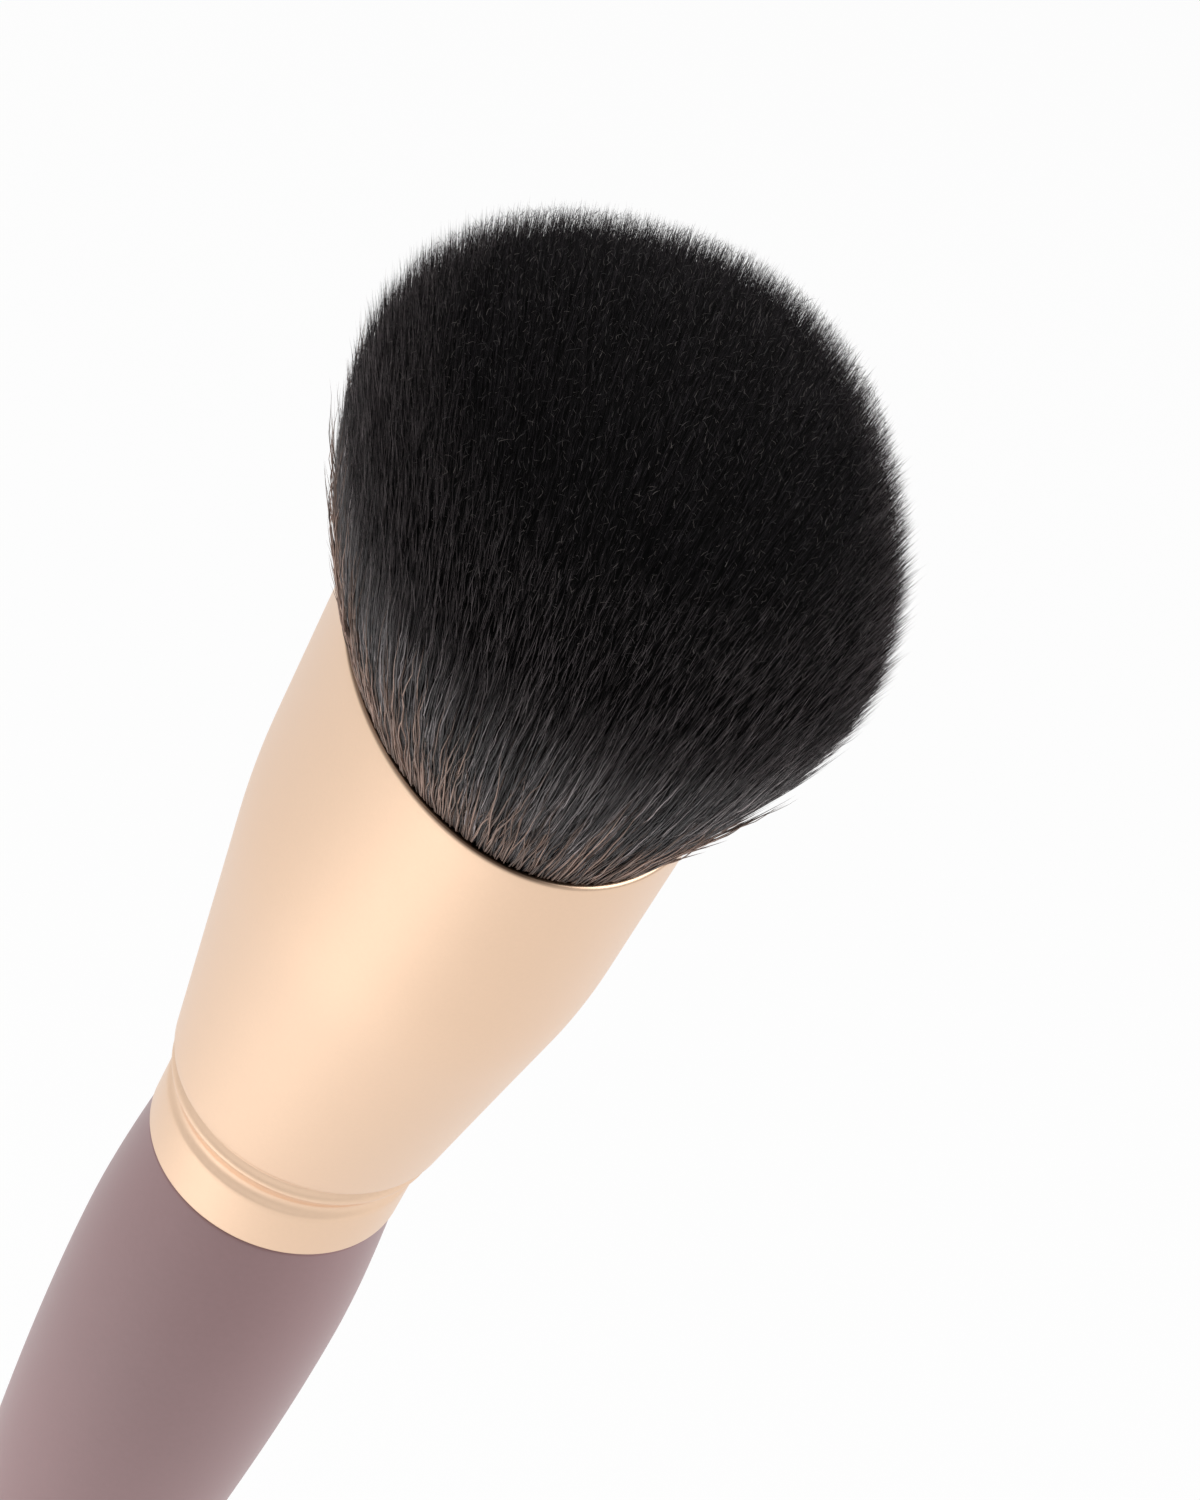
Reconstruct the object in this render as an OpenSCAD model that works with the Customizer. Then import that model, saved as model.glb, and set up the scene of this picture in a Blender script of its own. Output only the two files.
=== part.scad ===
// Foundation brush: a turned and lacquered handle, a drawn metal ferrule whose mouth is
// pressed oval, and a domed head of fine fibres that is bound, set in resin and glued in.
// Z runs along the brush, head up. X is the wide way of the head. Sizes are in millimetres.

/* [Handle] */
// Length of the handle below the ferrule, with its round end
handle_len = 112; // [95:1:140]
// How far the belly stands out past the handle's top edge
belly_swell = 0.55; // [0.2:0.05:1.2]
// Distance from the ferrule down to the fullest point of the belly
belly_drop = 10; // [6:0.5:16]
// Length over which the belly tapers into the straight tail
handle_taper = 56; // [40:1:64]
// Diameter of the straight tail
tail_d = 8; // [6:0.2:10]
// Diameter of the tenon that enters the ferrule
tenon_d = 11.2; // [9:0.1:11.3]
// Gap between the tenon's end and the plug of resin above it
tenon_gap = 1; // [0.5:0.25:2.5]

/* [Ferrule] */
// Height of the ferrule from the handle to the mouth
ferrule_len = 35.5; // [33:0.5:42]
// Thickness of the drawn metal
ferrule_wall = 0.5; // [0.35:0.05:0.55]
// Width of the oval mouth
mouth_w = 25.8; // [22:0.2:30]
// Depth of the oval mouth, front to back
mouth_t = 17.8; // [15:0.2:21]
// Width at the shoulder, where the taper ends
shoulder_w = 22.8; // [20:0.2:25]
// Depth at the shoulder, front to back
shoulder_t = 17.8; // [15:0.2:20]
// Distance from the mouth down to the shoulder, as a share of the ferrule's height
shoulder_share = 0.383; // [0.3:0.01:0.42]
// Half the length over which the shoulder is eased
shoulder_ease = 2.5; // [0.5:0.25:4]
// Diameter of the round lower end of the taper
taper_end_d = 14.2; // [13.8:0.1:15]
// Diameter of the plain band at the handle
band_d = 13; // [12.6:0.1:13.4]
// Height of the plain band
band_h = 2.9; // [2:0.1:4]
// Height of the crimped groove above the band
crimp_h = 1.3; // [0.8:0.1:2]
// Depth of the crimped groove
crimp_depth = 0.2; // [0.05:0.05:0.25]
// Diameter of the bead above the groove
bead_d = 13.7; // [13.4:0.1:14]
// Height of the bead
bead_h = 1.1; // [0.8:0.1:1.6]
// Height of the neck between the bead and the taper
neck_h = 0.6; // [0.3:0.1:1]
// Depth of that neck, measured from the taper's end
neck_depth = 0.45; // [0.2:0.05:0.6]

/* [Head] */
// Height of the head above the mouth
head_h = 19.8; // [17:0.2:26]
// Height above the mouth at which the head is widest
head_shoulder_h = 10.2; // [7:0.2:14]
// How far the fibres spread past the mouth at each end of its width
head_spread_w = 2.6; // [1.5:0.1:5]
// How far they spread at the front and at the back
head_spread_t = 4.1; // [2:0.1:6]
// How far the head's corners stand out past a plain oval, as a share of its size
head_corner_share = 0.055; // [0:0.005:0.1]
// Rows of fibres each way across the bundle
fibre_rows = 17; // [13:1:18]
// Number of crimped fibres round the mouth
wavy_count = 64; // [40:4:72]
// Height of the crimped fibres above the mouth
wavy_h = 7; // [4:0.5:9]
// Side to side swing of a crimped fibre
wavy_swing = 0.3; // [0:0.05:0.4]
// Thickness of the layer of crimped fibres at the mouth
wavy_layer = 0.7; // [0.5:0.05:1]

/* [Knot] */
// How far below the mouth the fibres are free of each other
free_drop = 1; // [0.5:0.25:3]
// How far below the mouth the crimped layer reaches, as a share of the ferrule's height
wavy_share = 0.338; // [0.24:0.01:0.35]
// How far below the mouth the binding thread starts, as a share of the ferrule's height
thread_share = 0.378; // [0.37:0.005:0.39]
// Diameter of the binding thread
thread_d = 0.6; // [0.4:0.05:0.6]
// Turns of the binding thread
thread_turns = 4; // [3:1:5]
// How far below the mouth the packed fibres end in the resin, as a share of the ferrule's height
knot_share = 0.493; // [0.48:0.005:0.53]
// Depth of the resin plug under the fibres, as a share of the ferrule's height
resin_share = 0.141; // [0.09:0.01:0.17]
// How far the glue climbs the tenon, as a share of its length
glue_share = 0.75; // [0.6:0.05:0.9]

/* [Fits] */
// Gap between pieces that are glued or pressed together
seat_gap = 0.03; // [0.01:0.01:0.05]

/* [Hidden] */

// The origin is on the axis, halfway up the straight tail
tail_r = tail_d / 2;
tail_straight = handle_len - belly_drop - handle_taper - tail_r;
tail_end_z = -tail_straight / 2 - tail_r;
joint_z = tail_end_z + handle_len;
mouth_z = joint_z + ferrule_len;

// Depths below the mouth of what is in the ferrule, and of its shoulder
shoulder_drop = shoulder_share * ferrule_len;
wavy_drop = wavy_share * ferrule_len;
thread_drop = thread_share * ferrule_len;
knot_drop = knot_share * ferrule_len;
resin_h = resin_share * ferrule_len;

// Handle
handle_top_step = 0.1;
handle_top_r = band_d / 2 - handle_top_step;
belly_r = handle_top_r + belly_swell;
handle_edge = 0.25;
tenon_r = tenon_d / 2;
tenon_len = ferrule_len - knot_drop - seat_gap - resin_h - tenon_gap;
tenon_chamfer = 0.6;
belly_steps = 6;
taper_steps = 18;
tail_steps = 8;
function smooth(t) = t * t * (3 - 2 * t);

// Ferrule profile near the handle, as heights above the joint and radii
ring_sides = 56;
band_r = band_d / 2;
bead_r = bead_d / 2;
taper_end_r = taper_end_d / 2;
band_edge = 0.2;
crimp_z = band_h + crimp_h;
bead_z = crimp_z + bead_h;
taper_end_z = bead_z + neck_h;
taper_end_drop = ferrule_len - taper_end_z;
edge_share = 0.3;
swell_share = 0.7;
collar_profile = concat(
    [[0, band_r - band_edge], [band_edge * edge_share, band_r - band_edge * edge_share]],
    [[band_edge, band_r], [band_h, band_r]],
    [for (t = [0.25:0.25:0.75]) [band_h + crimp_h * t, band_r - crimp_depth * sin(180 * t)]],
    [[crimp_z, band_r]],
    [for (t = [0.25:0.25:0.75]) [crimp_z + bead_h * t, band_r + (bead_r - band_r) * sin(180 * t)]],
    [[bead_z, taper_end_r - neck_depth]],
    [[bead_z + neck_h * swell_share, taper_end_r - neck_depth * edge_share]],
    [[taper_end_z, taper_end_r]]
);

// Two straight slopes that meet at x = 0, eased over a length w on each side
function eased_bend(x, below, above, w) =
    x < -w ? below * x
    : x > w ? above * x
    : below * x + (above - below) * (x + w) * (x + w) / (4 * w);
function upper_half(drop, end_r, at_shoulder, at_mouth) =
    at_shoulder + eased_bend(
        shoulder_drop - drop,
        (at_shoulder - end_r) / (taper_end_drop - shoulder_drop),
        (at_mouth - at_shoulder) / shoulder_drop,
        shoulder_ease
    );
function half_w(drop) = upper_half(drop, taper_end_r, shoulder_w / 2, mouth_w / 2);
function half_t(drop) = upper_half(drop, taper_end_r, shoulder_t / 2, mouth_t / 2);

// One oval ring of points at a height, and the same ring of the ferrule drawn in by an offset
function oval(a, b, z, n = ring_sides) = [
    for (i = [0:n - 1]) [a * cos(360 * i / n), b * sin(360 * i / n), z]
];
function wall_ring(drop, in, n = ring_sides) = oval(half_w(drop) - in, half_t(drop) - in, mouth_z - drop, n);
function collar_ring(p, in) = oval(p[1] - in, p[1] - in, joint_z + seat_gap + p[0]);

// Depths below the mouth at which the upper ferrule has a ring, from the taper's end up
taper_rings = 5;
ease_rings = 4;
ease_low = shoulder_drop + shoulder_ease;
ease_high = shoulder_drop - shoulder_ease;
lip_r = ferrule_wall / 2;
lip_steps = 4;
upper_drops = concat(
    [for (i = [1:taper_rings]) taper_end_drop + (ease_low - taper_end_drop) * i / taper_rings],
    [for (i = [1:ease_rings]) ease_low + (ease_high - ease_low) * i / ease_rings],
    [(ease_high + lip_r) / 2, lip_r]
);

// Joins rings of points into one skin. A loop closes the last ring on the first, and otherwise both ends
// are capped
function side_faces(low, high, n) = [
    for (i = [0:n - 1])
        let (k = (i + 1) % n)
        each [[low + i, high + i, high + k], [low + i, high + k, low + k]]
];
module skin(rings, loop = false) {
    n = len(rings[0]);
    m = len(rings);
    points = [for (r = rings) each r];
    sides = [for (i = [0:m - 2]) each side_faces(i * n, (i + 1) * n, n)];
    ends = loop
        ? side_faces((m - 1) * n, 0, n)
        : [for (i = [1:n - 2]) each [[0, i, i + 1], [(m - 1) * n, (m - 1) * n + i + 1, (m - 1) * n + i]]];
    polyhedron(points, concat(sides, ends));
}

// Head: how far the fibres have spread at a height above the mouth, how far the corners stand out there in
// the direction of a point, and how high the dome is over a share of its radius
mouth_in_w = half_w(free_drop) - ferrule_wall - seat_gap;
mouth_in_t = half_t(free_drop) - ferrule_wall - seat_gap;
function risen(h) = max(0, min(1, h / head_shoulder_h));
function spread_share(h) = risen(h) * (3 - risen(h)) / 2;
function spread_w(h) = head_spread_w * spread_share(h);
function spread_t(h) = head_spread_t * spread_share(h);
function corner(p, h) =
    p == [0, 0] ? 1 : 1 + head_corner_share * risen(h) * pow(2 * p[0] * p[1] / (p * p), 2);
function dome_h(share) = head_shoulder_h + (head_h - head_shoulder_h) * sqrt(max(0, 1 - share * share));

// Bundle of black fibres: a square grid of cells laid on the oval so that every cell has the same area
layer_in = wavy_layer + seat_gap;
fibre_root_w = 0.36;
fibre_full_w = 0.56;
fibre_mid_h = 5;
fibre_neck_share = 0.93;
fibre_reach_share = 1.03;
fibre_lean_share = 0.28;
fibre_trim = 0.35;
lean_turn = 137.5;
trim_turn = 222.5;
function disc(u, v) =
    u == 0 && v == 0 ? [0, 0]
    : abs(u) >= abs(v) ? u * [cos(45 * v / u), sin(45 * v / u)]
    : v * [sin(45 * u / v), cos(45 * u / v)];
function layer_left(h) = layer_in * (1 - risen(h));
function place(p, h) = [
    p[0] * (mouth_in_w - layer_left(h) + spread_w(h)) * corner(p, h),
    p[1] * (mouth_in_t - layer_left(h) + spread_t(h)) * corner(p, h),
    mouth_z + h
];
function tri(centre, w) = [for (a = [210, 330, 90]) centre + w * [cos(a), sin(a), 0]];
function cell_mid(k) =
    let (i = floor(k / fibre_rows), j = k % fibre_rows)
    disc((2 * i + 1) / fibre_rows - 1, (2 * j + 1) / fibre_rows - 1);
// Each fibre leans a little its own way inside its cell, and its tip is a little above or below the dome
function fibre(k) =
    let (
        p = cell_mid(k),
        lean = fibre_lean_share / fibre_rows * [cos(lean_turn * k), sin(lean_turn * k)],
        q = p * fibre_reach_share + lean,
        tip = dome_h(norm(p)) - fibre_trim * (1 + sin(trim_turn * k)) / 2
    )
    concat(
        tri(place(p, -free_drop), fibre_root_w),
        tri(place(p + lean, fibre_mid_h), fibre_root_w),
        tri(place(q, tip * fibre_neck_share), fibre_full_w),
        [place(q, tip)]
    );
fibre_points = 10;
function fibre_faces(f) = concat(
    side_faces(f, f + 3, 3),
    side_faces(f + 3, f + 6, 3),
    [[f + 6, f + 9, f + 7], [f + 7, f + 9, f + 8], [f + 8, f + 9, f + 6]]
);
// The slice round a fibre's foot: four corners of its cell and the three points of the foot, seen from above
function foot_faces(c, f) = [
    [c[0], f, f + 1], [c[0], f + 1, c[1]], [c[1], f + 1, f + 2], [c[1], f + 2, c[2]],
    [c[2], f + 2, c[3]], [c[3], f + 2, f], [c[3], f, c[0]]
];

rim_count = 4 * fibre_rows;
function grid_index(i, j) = i * (fibre_rows + 1) + j;
function rim_cell(k) =
    let (side = floor(k / fibre_rows), s = k % fibre_rows)
    side == 0 ? [s, 0]
    : side == 1 ? [fibre_rows, s]
    : side == 2 ? [fibre_rows - s, fibre_rows]
    : [0, fibre_rows - s];
function rim_dir(k) =
    let (c = rim_cell(k))
    disc(2 * c[0] / fibre_rows - 1, 2 * c[1] / fibre_rows - 1);
// The packed fibres follow the ferrule's wall, inside the crimped layer
function packed_ring(drop) =
    let (in = ferrule_wall + seat_gap + layer_in, a = half_w(drop) - in, b = half_t(drop) - in)
    [for (k = [0:rim_count - 1]) [rim_dir(k)[0] * a, rim_dir(k)[1] * b, mouth_z - drop]];
packed_drops = [ease_high, shoulder_drop, ease_low, knot_drop];

module handle() {
    tenon = [
        [0, joint_z + tenon_len],
        [tenon_r - tenon_chamfer, joint_z + tenon_len],
        [tenon_r, joint_z + tenon_len - tenon_chamfer],
        [tenon_r, joint_z],
        [handle_top_r - handle_edge, joint_z]
    ];
    belly = [
        for (i = [0:belly_steps])
            let (t = i / belly_steps)
            [handle_top_r + belly_swell * sin(90 * t), joint_z - handle_edge - (belly_drop - handle_edge) * t]
    ];
    taper = [
        for (i = [1:taper_steps])
            let (t = i / taper_steps)
            [belly_r + (tail_r - belly_r) * smooth(t), joint_z - belly_drop - handle_taper * t]
    ];
    tail = [
        for (i = [0:tail_steps])
            let (a = 90 * i / tail_steps)
            [tail_r * cos(a), tail_end_z + tail_r - tail_r * sin(a)]
    ];
    color("rosybrown")
        rotate_extrude($fn = 96)
            polygon(concat(tenon, belly, taper, tail));
}

// Thin sleeve of glue between the tenon and the ferrule's socket
module handle_glue() {
    inside = tenon_r + seat_gap;
    in = ferrule_wall + seat_gap;
    glue_h = glue_share * tenon_len;
    collar_top = min(glue_h, taper_end_z);
    collar = [
        for (p = collar_profile) if (p[0] >= band_edge && p[0] < collar_top) collar_ring(p, in),
        collar_ring([collar_top, lookup(collar_top, collar_profile)], in)
    ];
    climb = glue_h - collar_top;
    above = climb > 0 ? [for (t = [0.5, 1]) wall_ring(ferrule_len - collar_top - climb * t, in)] : [];
    bore = inside / cos(180 / ring_sides);
    inner = [for (h = [glue_h, band_edge]) oval(bore, bore, joint_z + seat_gap + h)];
    color("palegoldenrod")
        skin(concat(collar, above, inner), loop = true);
}

module ferrule() {
    collar = [for (p = collar_profile) collar_ring(p, 0)];
    upper = [for (d = upper_drops) wall_ring(d, 0)];
    lip = [
        for (i = [1:lip_steps])
            let (a = 180 * i / lip_steps)
            wall_ring(lip_r - lip_r * sin(a), lip_r - lip_r * cos(a))
    ];
    last = len(upper_drops) - 2;
    upper_inner = [for (i = [last:-1:0]) wall_ring(upper_drops[i], ferrule_wall)];
    top = len(collar_profile) - 1;
    collar_inner = [
        for (i = [top:-1:0])
            if (collar_profile[i][0] >= band_edge) collar_ring(collar_profile[i], ferrule_wall)
    ];
    foot = [oval(band_r - ferrule_wall, band_r - ferrule_wall, joint_z + seat_gap)];
    color("burlywood")
        skin(concat(collar, upper, lip, upper_inner, collar_inner, foot), loop = true);
}

// Plug of resin that fills the ferrule under the packed fibres
module knot_resin() {
    in = ferrule_wall + seat_gap;
    top = knot_drop + seat_gap;
    color("sienna")
        skin([for (d = [top + resin_h, top + resin_h / 2, top]) wall_ring(d, in)]);
}

// Turns of thread round the packed fibres, drawn in tight against them
module knot_thread() {
    inside = ferrule_wall + seat_gap + wavy_layer;
    turn_shares = [0, 0.25, 0.5, 0.75];
    ridges = [
        for (t = [thread_turns - 1:-1:0], s = [3:-1:0])
            let (d = thread_drop + thread_d * (t + turn_shares[s]))
            wall_ring(d, inside - thread_d * (1 + sin(180 * turn_shares[s])) / 2)
    ];
    low = thread_drop + thread_d * (thread_turns - turn_shares[1]);
    bore = [for (d = [thread_drop, low]) wall_ring(d, inside)];
    color("ivory")
        skin(concat(ridges, bore), loop = true);
}

module black_fibres() {
    slice = [
        for (i = [0:fibre_rows], j = [0:fibre_rows])
            place(disc(2 * i / fibre_rows - 1, 2 * j / fibre_rows - 1), -free_drop)
    ];
    count = fibre_rows * fibre_rows;
    first = len(slice);
    packed = first + count * fibre_points;
    fibres = [for (k = [0:count - 1]) each fibre(k)];
    feet = [
        for (k = [0:count - 1])
            let (i = floor(k / fibre_rows), j = k % fibre_rows)
            each foot_faces(
                [grid_index(i, j), grid_index(i + 1, j), grid_index(i + 1, j + 1), grid_index(i, j + 1)],
                first + k * fibre_points
            )
    ];
    strands = [for (k = [0:count - 1]) each fibre_faces(first + k * fibre_points)];
    rim = [for (k = [0:rim_count - 1]) let (c = rim_cell(k)) grid_index(c[0], c[1])];
    top_side = [
        for (k = [0:rim_count - 1])
            let (n = (k + 1) % rim_count, low = packed)
            each [[low + k, rim[k], rim[n]], [low + k, rim[n], low + n]]
    ];
    lower = [
        for (s = [1:len(packed_drops) - 1])
            each side_faces(packed + s * rim_count, packed + (s - 1) * rim_count, rim_count)
    ];
    base = packed + (len(packed_drops) - 1) * rim_count;
    floor_faces = [for (k = [1:rim_count - 2]) [base, base + k, base + k + 1]];
    color("black")
        polyhedron(
            concat(slice, fibres, [for (d = packed_drops) each packed_ring(d)]),
            concat(feet, strands, top_side, lower, floor_faces)
        );
}

// Layer of crimped brown fibres between the bundle and the ferrule's mouth
wavy_root_w = 0.2;
wavy_neck_share = 0.75;
wavy_vary_share = 0.25;
function wavy_at(k, h, out, swing) =
    let (a = 360 * (k + 0.5) / wavy_count, c = corner([cos(a), sin(a)], h))
    [
        (mouth_in_w - wavy_layer / 2 + out + spread_w(h)) * c * cos(a) - swing * sin(a),
        (mouth_in_t - wavy_layer / 2 + out + spread_t(h)) * c * sin(a) + swing * cos(a),
        mouth_z + h
    ];
function wavy_fibre(k) =
    let (
        tip = wavy_h * (1 + wavy_vary_share * sin(lean_turn * k)),
        neck = tip * wavy_neck_share,
        out = wavy_layer / 2,
        swing = wavy_swing * (k % 2 == 0 ? 1 : -1)
    )
    concat(
        tri(wavy_at(k, -free_drop, 0, 0), wavy_root_w),
        tri(wavy_at(k, lip_r, 0, 0), wavy_root_w),
        tri(wavy_at(k, neck, out, swing), wavy_root_w),
        [wavy_at(k, tip, out, 0)]
    );
module wavy_fibres() {
    n = wavy_count;
    in = ferrule_wall + seat_gap;
    free = [for (w = [0, wavy_layer]) wall_ring(free_drop, in + w, n)];
    foot = [for (w = [wavy_layer, 0]) wall_ring(wavy_drop, in + w, n)];
    points = concat(free[0], free[1], foot[0], foot[1]);
    first = len(points);
    cells = [
        for (k = [0:n - 1])
            let (m = (k + 1) % n)
            each foot_faces([n + k, k, m, n + m], first + k * fibre_points)
    ];
    walls = concat(side_faces(n, 2 * n, n), side_faces(2 * n, 3 * n, n), side_faces(3 * n, 0, n));
    strands = [for (k = [0:n - 1]) each fibre_faces(first + k * fibre_points)];
    color("saddlebrown")
        polyhedron(
            concat(points, [for (k = [0:n - 1]) each wavy_fibre(k)]),
            concat(cells, walls, strands)
        );
}

handle();
handle_glue();
ferrule();
knot_resin();
knot_thread();
black_fibres();
wavy_fibres();
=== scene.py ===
import bpy
import math
from mathutils import Matrix, Vector


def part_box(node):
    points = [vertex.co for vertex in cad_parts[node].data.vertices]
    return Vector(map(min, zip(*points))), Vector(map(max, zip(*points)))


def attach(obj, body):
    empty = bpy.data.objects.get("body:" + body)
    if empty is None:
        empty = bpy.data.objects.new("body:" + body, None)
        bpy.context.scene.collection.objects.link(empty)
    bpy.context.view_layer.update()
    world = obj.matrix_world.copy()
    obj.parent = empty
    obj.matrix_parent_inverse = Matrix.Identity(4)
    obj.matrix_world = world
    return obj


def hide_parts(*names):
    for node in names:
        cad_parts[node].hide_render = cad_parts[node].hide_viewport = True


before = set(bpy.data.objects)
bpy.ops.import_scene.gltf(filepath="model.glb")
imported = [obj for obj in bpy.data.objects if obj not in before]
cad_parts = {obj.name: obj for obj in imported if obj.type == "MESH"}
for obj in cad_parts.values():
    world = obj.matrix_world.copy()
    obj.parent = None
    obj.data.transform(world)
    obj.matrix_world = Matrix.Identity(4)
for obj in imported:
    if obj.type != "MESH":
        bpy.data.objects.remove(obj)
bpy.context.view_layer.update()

# The camera.
# It looks down on the head at a slant, with the handle running away out of the lower left
# corner. Its place follows from where the middle of the mouth lies in its own view.
MM = 0.001
focal_px = 5000.0
long_side_px = 1500.0
sensor_mm = 36.0
nearest_seen = 10 * MM
tilt = math.radians(48.0)
roll = 0.511
turn = -1.14
mouth_in_view = Vector((-2.789, -3.766, 218.886)) * MM

mouth_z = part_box("ferrule")[1].z
axis_in_view = Vector((math.sin(tilt) * math.sin(roll), -math.sin(tilt) * math.cos(roll), -math.cos(tilt)))
across = axis_in_view.cross(Vector((0, 0, 1))).normalized()
down = axis_in_view.cross(across)
wide_in_view = math.cos(turn) * across + math.sin(turn) * down
thin_in_view = -math.sin(turn) * across + math.cos(turn) * down
view_axes = (wide_in_view, thin_in_view, axis_in_view)
to_right = Vector([a.x for a in view_axes])
to_bottom = Vector([a.y for a in view_axes])
to_front = Vector([a.z for a in view_axes])
eye = Vector((0, 0, mouth_z)) - Vector([mouth_in_view.dot(a) for a in view_axes])

camera = bpy.data.objects.new("camera", bpy.data.cameras.new("camera"))
camera.data.sensor_width = sensor_mm
camera.data.lens = focal_px / long_side_px * sensor_mm
camera.data.clip_start = nearest_seen
facing = Matrix((to_right, -to_bottom, -to_front)).transposed().to_4x4()
camera.matrix_world = Matrix.Translation(eye) @ facing
bpy.context.scene.collection.objects.link(camera)
bpy.context.scene.camera = camera

# The handle.
# Turned wood under a mauve satin lacquer: a soft belly below the ferrule, a long taper and a
# slim straight tail. Its tenon is glued into the ferrule.
handle_sides = 128
end_rings = 16
taper_rings = 96
belly_rings = 32
edge_rings = 8
joint_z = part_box("ferrule")[0].z
tail_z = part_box("handle")[0].z
belly_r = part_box("handle")[1].x
belly_swell = 0.55 * MM
belly_drop = 10 * MM
handle_taper = 56 * MM
handle_edge = 0.25 * MM
seat_gap_share = 0.1
tail_r = 4 * MM
tenon_r = 5.6 * MM
tenon_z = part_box("handle")[1].z
handle_top_r = belly_r - belly_swell


def skin(name, rings, loop=False):
    """One closed mesh through rings of points, each ring seen from above as anticlockwise."""
    sides = len(rings[0])
    points = [p for ring in rings for p in ring]
    faces = []
    last = len(rings) if loop else len(rings) - 1
    for r in range(last):
        low, high = r * sides, (r + 1) % len(rings) * sides
        for i in range(sides):
            k = (i + 1) % sides
            faces.append((low + i, low + k, high + k, high + i))
    if not loop:
        for ring, outward in ((0, -1), (len(rings) - 1, 1)):
            middle = len(points)
            points.append(sum((Vector(p) for p in rings[ring]), Vector()) / sides)
            for i in range(sides):
                a, b = ring * sides + i, ring * sides + (i + 1) % sides
                faces.append((a, b, middle) if outward > 0 else (b, a, middle))
    mesh = bpy.data.meshes.new(name)
    mesh.from_pydata([tuple(p) for p in points], [], faces)
    mesh.polygons.foreach_set("use_smooth", [True] * len(mesh.polygons))
    mesh.validate()
    piece = bpy.data.objects.new(name, mesh)
    bpy.context.scene.collection.objects.link(piece)
    return piece


def oval(half_w, half_t, z, sides):
    """A ring of points round the brush's axis."""
    turns = [math.tau * i / sides for i in range(sides)]
    return [(half_w * math.cos(t), half_t * math.sin(t), z) for t in turns]


def smooth(t):
    """A way from 0 to 1 that starts and ends level."""
    return t * t * (3 - 2 * t)


def handle_outline():
    """Radius and height of the handle, from the tail's end up to the tenon."""
    outline = []
    for i in range(1, end_rings + 1):
        a = math.pi / 2 * i / end_rings
        outline.append((tail_r * math.sin(a), tail_z + tail_r - tail_r * math.cos(a)))
    for i in range(taper_rings + 1):
        t = 1 - i / taper_rings
        outline.append((belly_r + (tail_r - belly_r) * smooth(t), joint_z - belly_drop - handle_taper * t))
    for i in range(1, belly_rings + 1):
        t = 1 - i / belly_rings
        height = joint_z - handle_edge - (belly_drop - handle_edge) * t
        outline.append((handle_top_r + belly_swell * math.sin(math.pi / 2 * t), height))
    for i in range(1, edge_rings + 1):
        a = math.pi / 2 * i / edge_rings
        outline.append((
            handle_top_r - handle_edge * (1 - math.cos(a)),
            joint_z - handle_edge + handle_edge * (1 - seat_gap_share) * math.sin(a),
        ))
    outline.append((tenon_r, joint_z - handle_edge * seat_gap_share))
    outline.append((tenon_r, tenon_z))
    return outline


handle = skin("handle_wood", [oval(r, r, z, handle_sides) for r, z in handle_outline()])


def wire(tree, kind, *values, **settings):
    """Adds a node, sets or links its inputs in order and returns it. None leaves an input as it is."""
    node = tree.nodes.new(kind)
    for key, value in settings.items():
        setattr(node, key, value)
    for socket, value in zip(node.inputs, values):
        if isinstance(value, bpy.types.NodeSocket):
            tree.links.new(value, socket)
        elif value is not None:
            socket.default_value = value
    return node


def blended(tree, amount, first, second):
    """A colour between two others. The mix node's inputs for numbers and vectors are passed over."""
    passed_over = (None,) * 5
    return wire(tree, "ShaderNodeMix", amount, *passed_over, first, second, data_type="RGBA").outputs[2]


def add_sockets(group, in_out, kind, *labels):
    """Gives a node group named inputs or outputs of one kind."""
    for label in labels:
        group.interface.new_socket(label, in_out=in_out, socket_type="NodeSocket" + kind)


def new_material(name):
    """A material with its surface shader and the object's own coordinates."""
    material = bpy.data.materials.new(name)
    material.use_nodes = True
    tree = material.node_tree
    return material, tree, tree.nodes["Principled BSDF"], wire(tree, "ShaderNodeTexCoord").outputs["Object"]


def satin_grain_group():
    """Fine unevenness of a satin coat: what it does to the colour, the roughness and the height."""
    grain_detail, cloud_detail = 2.0, 3.0
    both_low, both_high = 0.6, 1.4
    group = bpy.data.node_groups.new("satin_grain", "ShaderNodeTree")
    add_sockets(group, "INPUT", "Vector", "Place")
    add_sockets(group, "INPUT", "Float", "Grain Scale", "Cloud Scale", "Roughness Low", "Roughness High")
    add_sockets(group, "INPUT", "Color", "Colour Low", "Colour High")
    add_sockets(group, "OUTPUT", "Color", "Colour")
    add_sockets(group, "OUTPUT", "Float", "Roughness", "Height")
    given = wire(group, "NodeGroupInput").outputs
    result = wire(group, "NodeGroupOutput").inputs
    grain = wire(
        group, "ShaderNodeTexNoise", given["Place"], None, given["Grain Scale"], grain_detail).outputs[0]
    cloud = wire(
        group, "ShaderNodeTexNoise", given["Place"], None, given["Cloud Scale"], cloud_detail).outputs[0]
    both = wire(group, "ShaderNodeMath", grain, cloud, operation="ADD").outputs[0]
    share = wire(group, "ShaderNodeMapRange", both, both_low, both_high).outputs[0]
    sheen_ends = given["Roughness Low"], given["Roughness High"]
    sheen = wire(group, "ShaderNodeMapRange", share, 0.0, 1.0, *sheen_ends).outputs[0]
    group.links.new(blended(group, share, given["Colour Low"], given["Colour High"]), result["Colour"])
    group.links.new(sheen, result["Roughness"])
    group.links.new(grain, result["Height"])
    return group


satin_grain = satin_grain_group()


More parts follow.
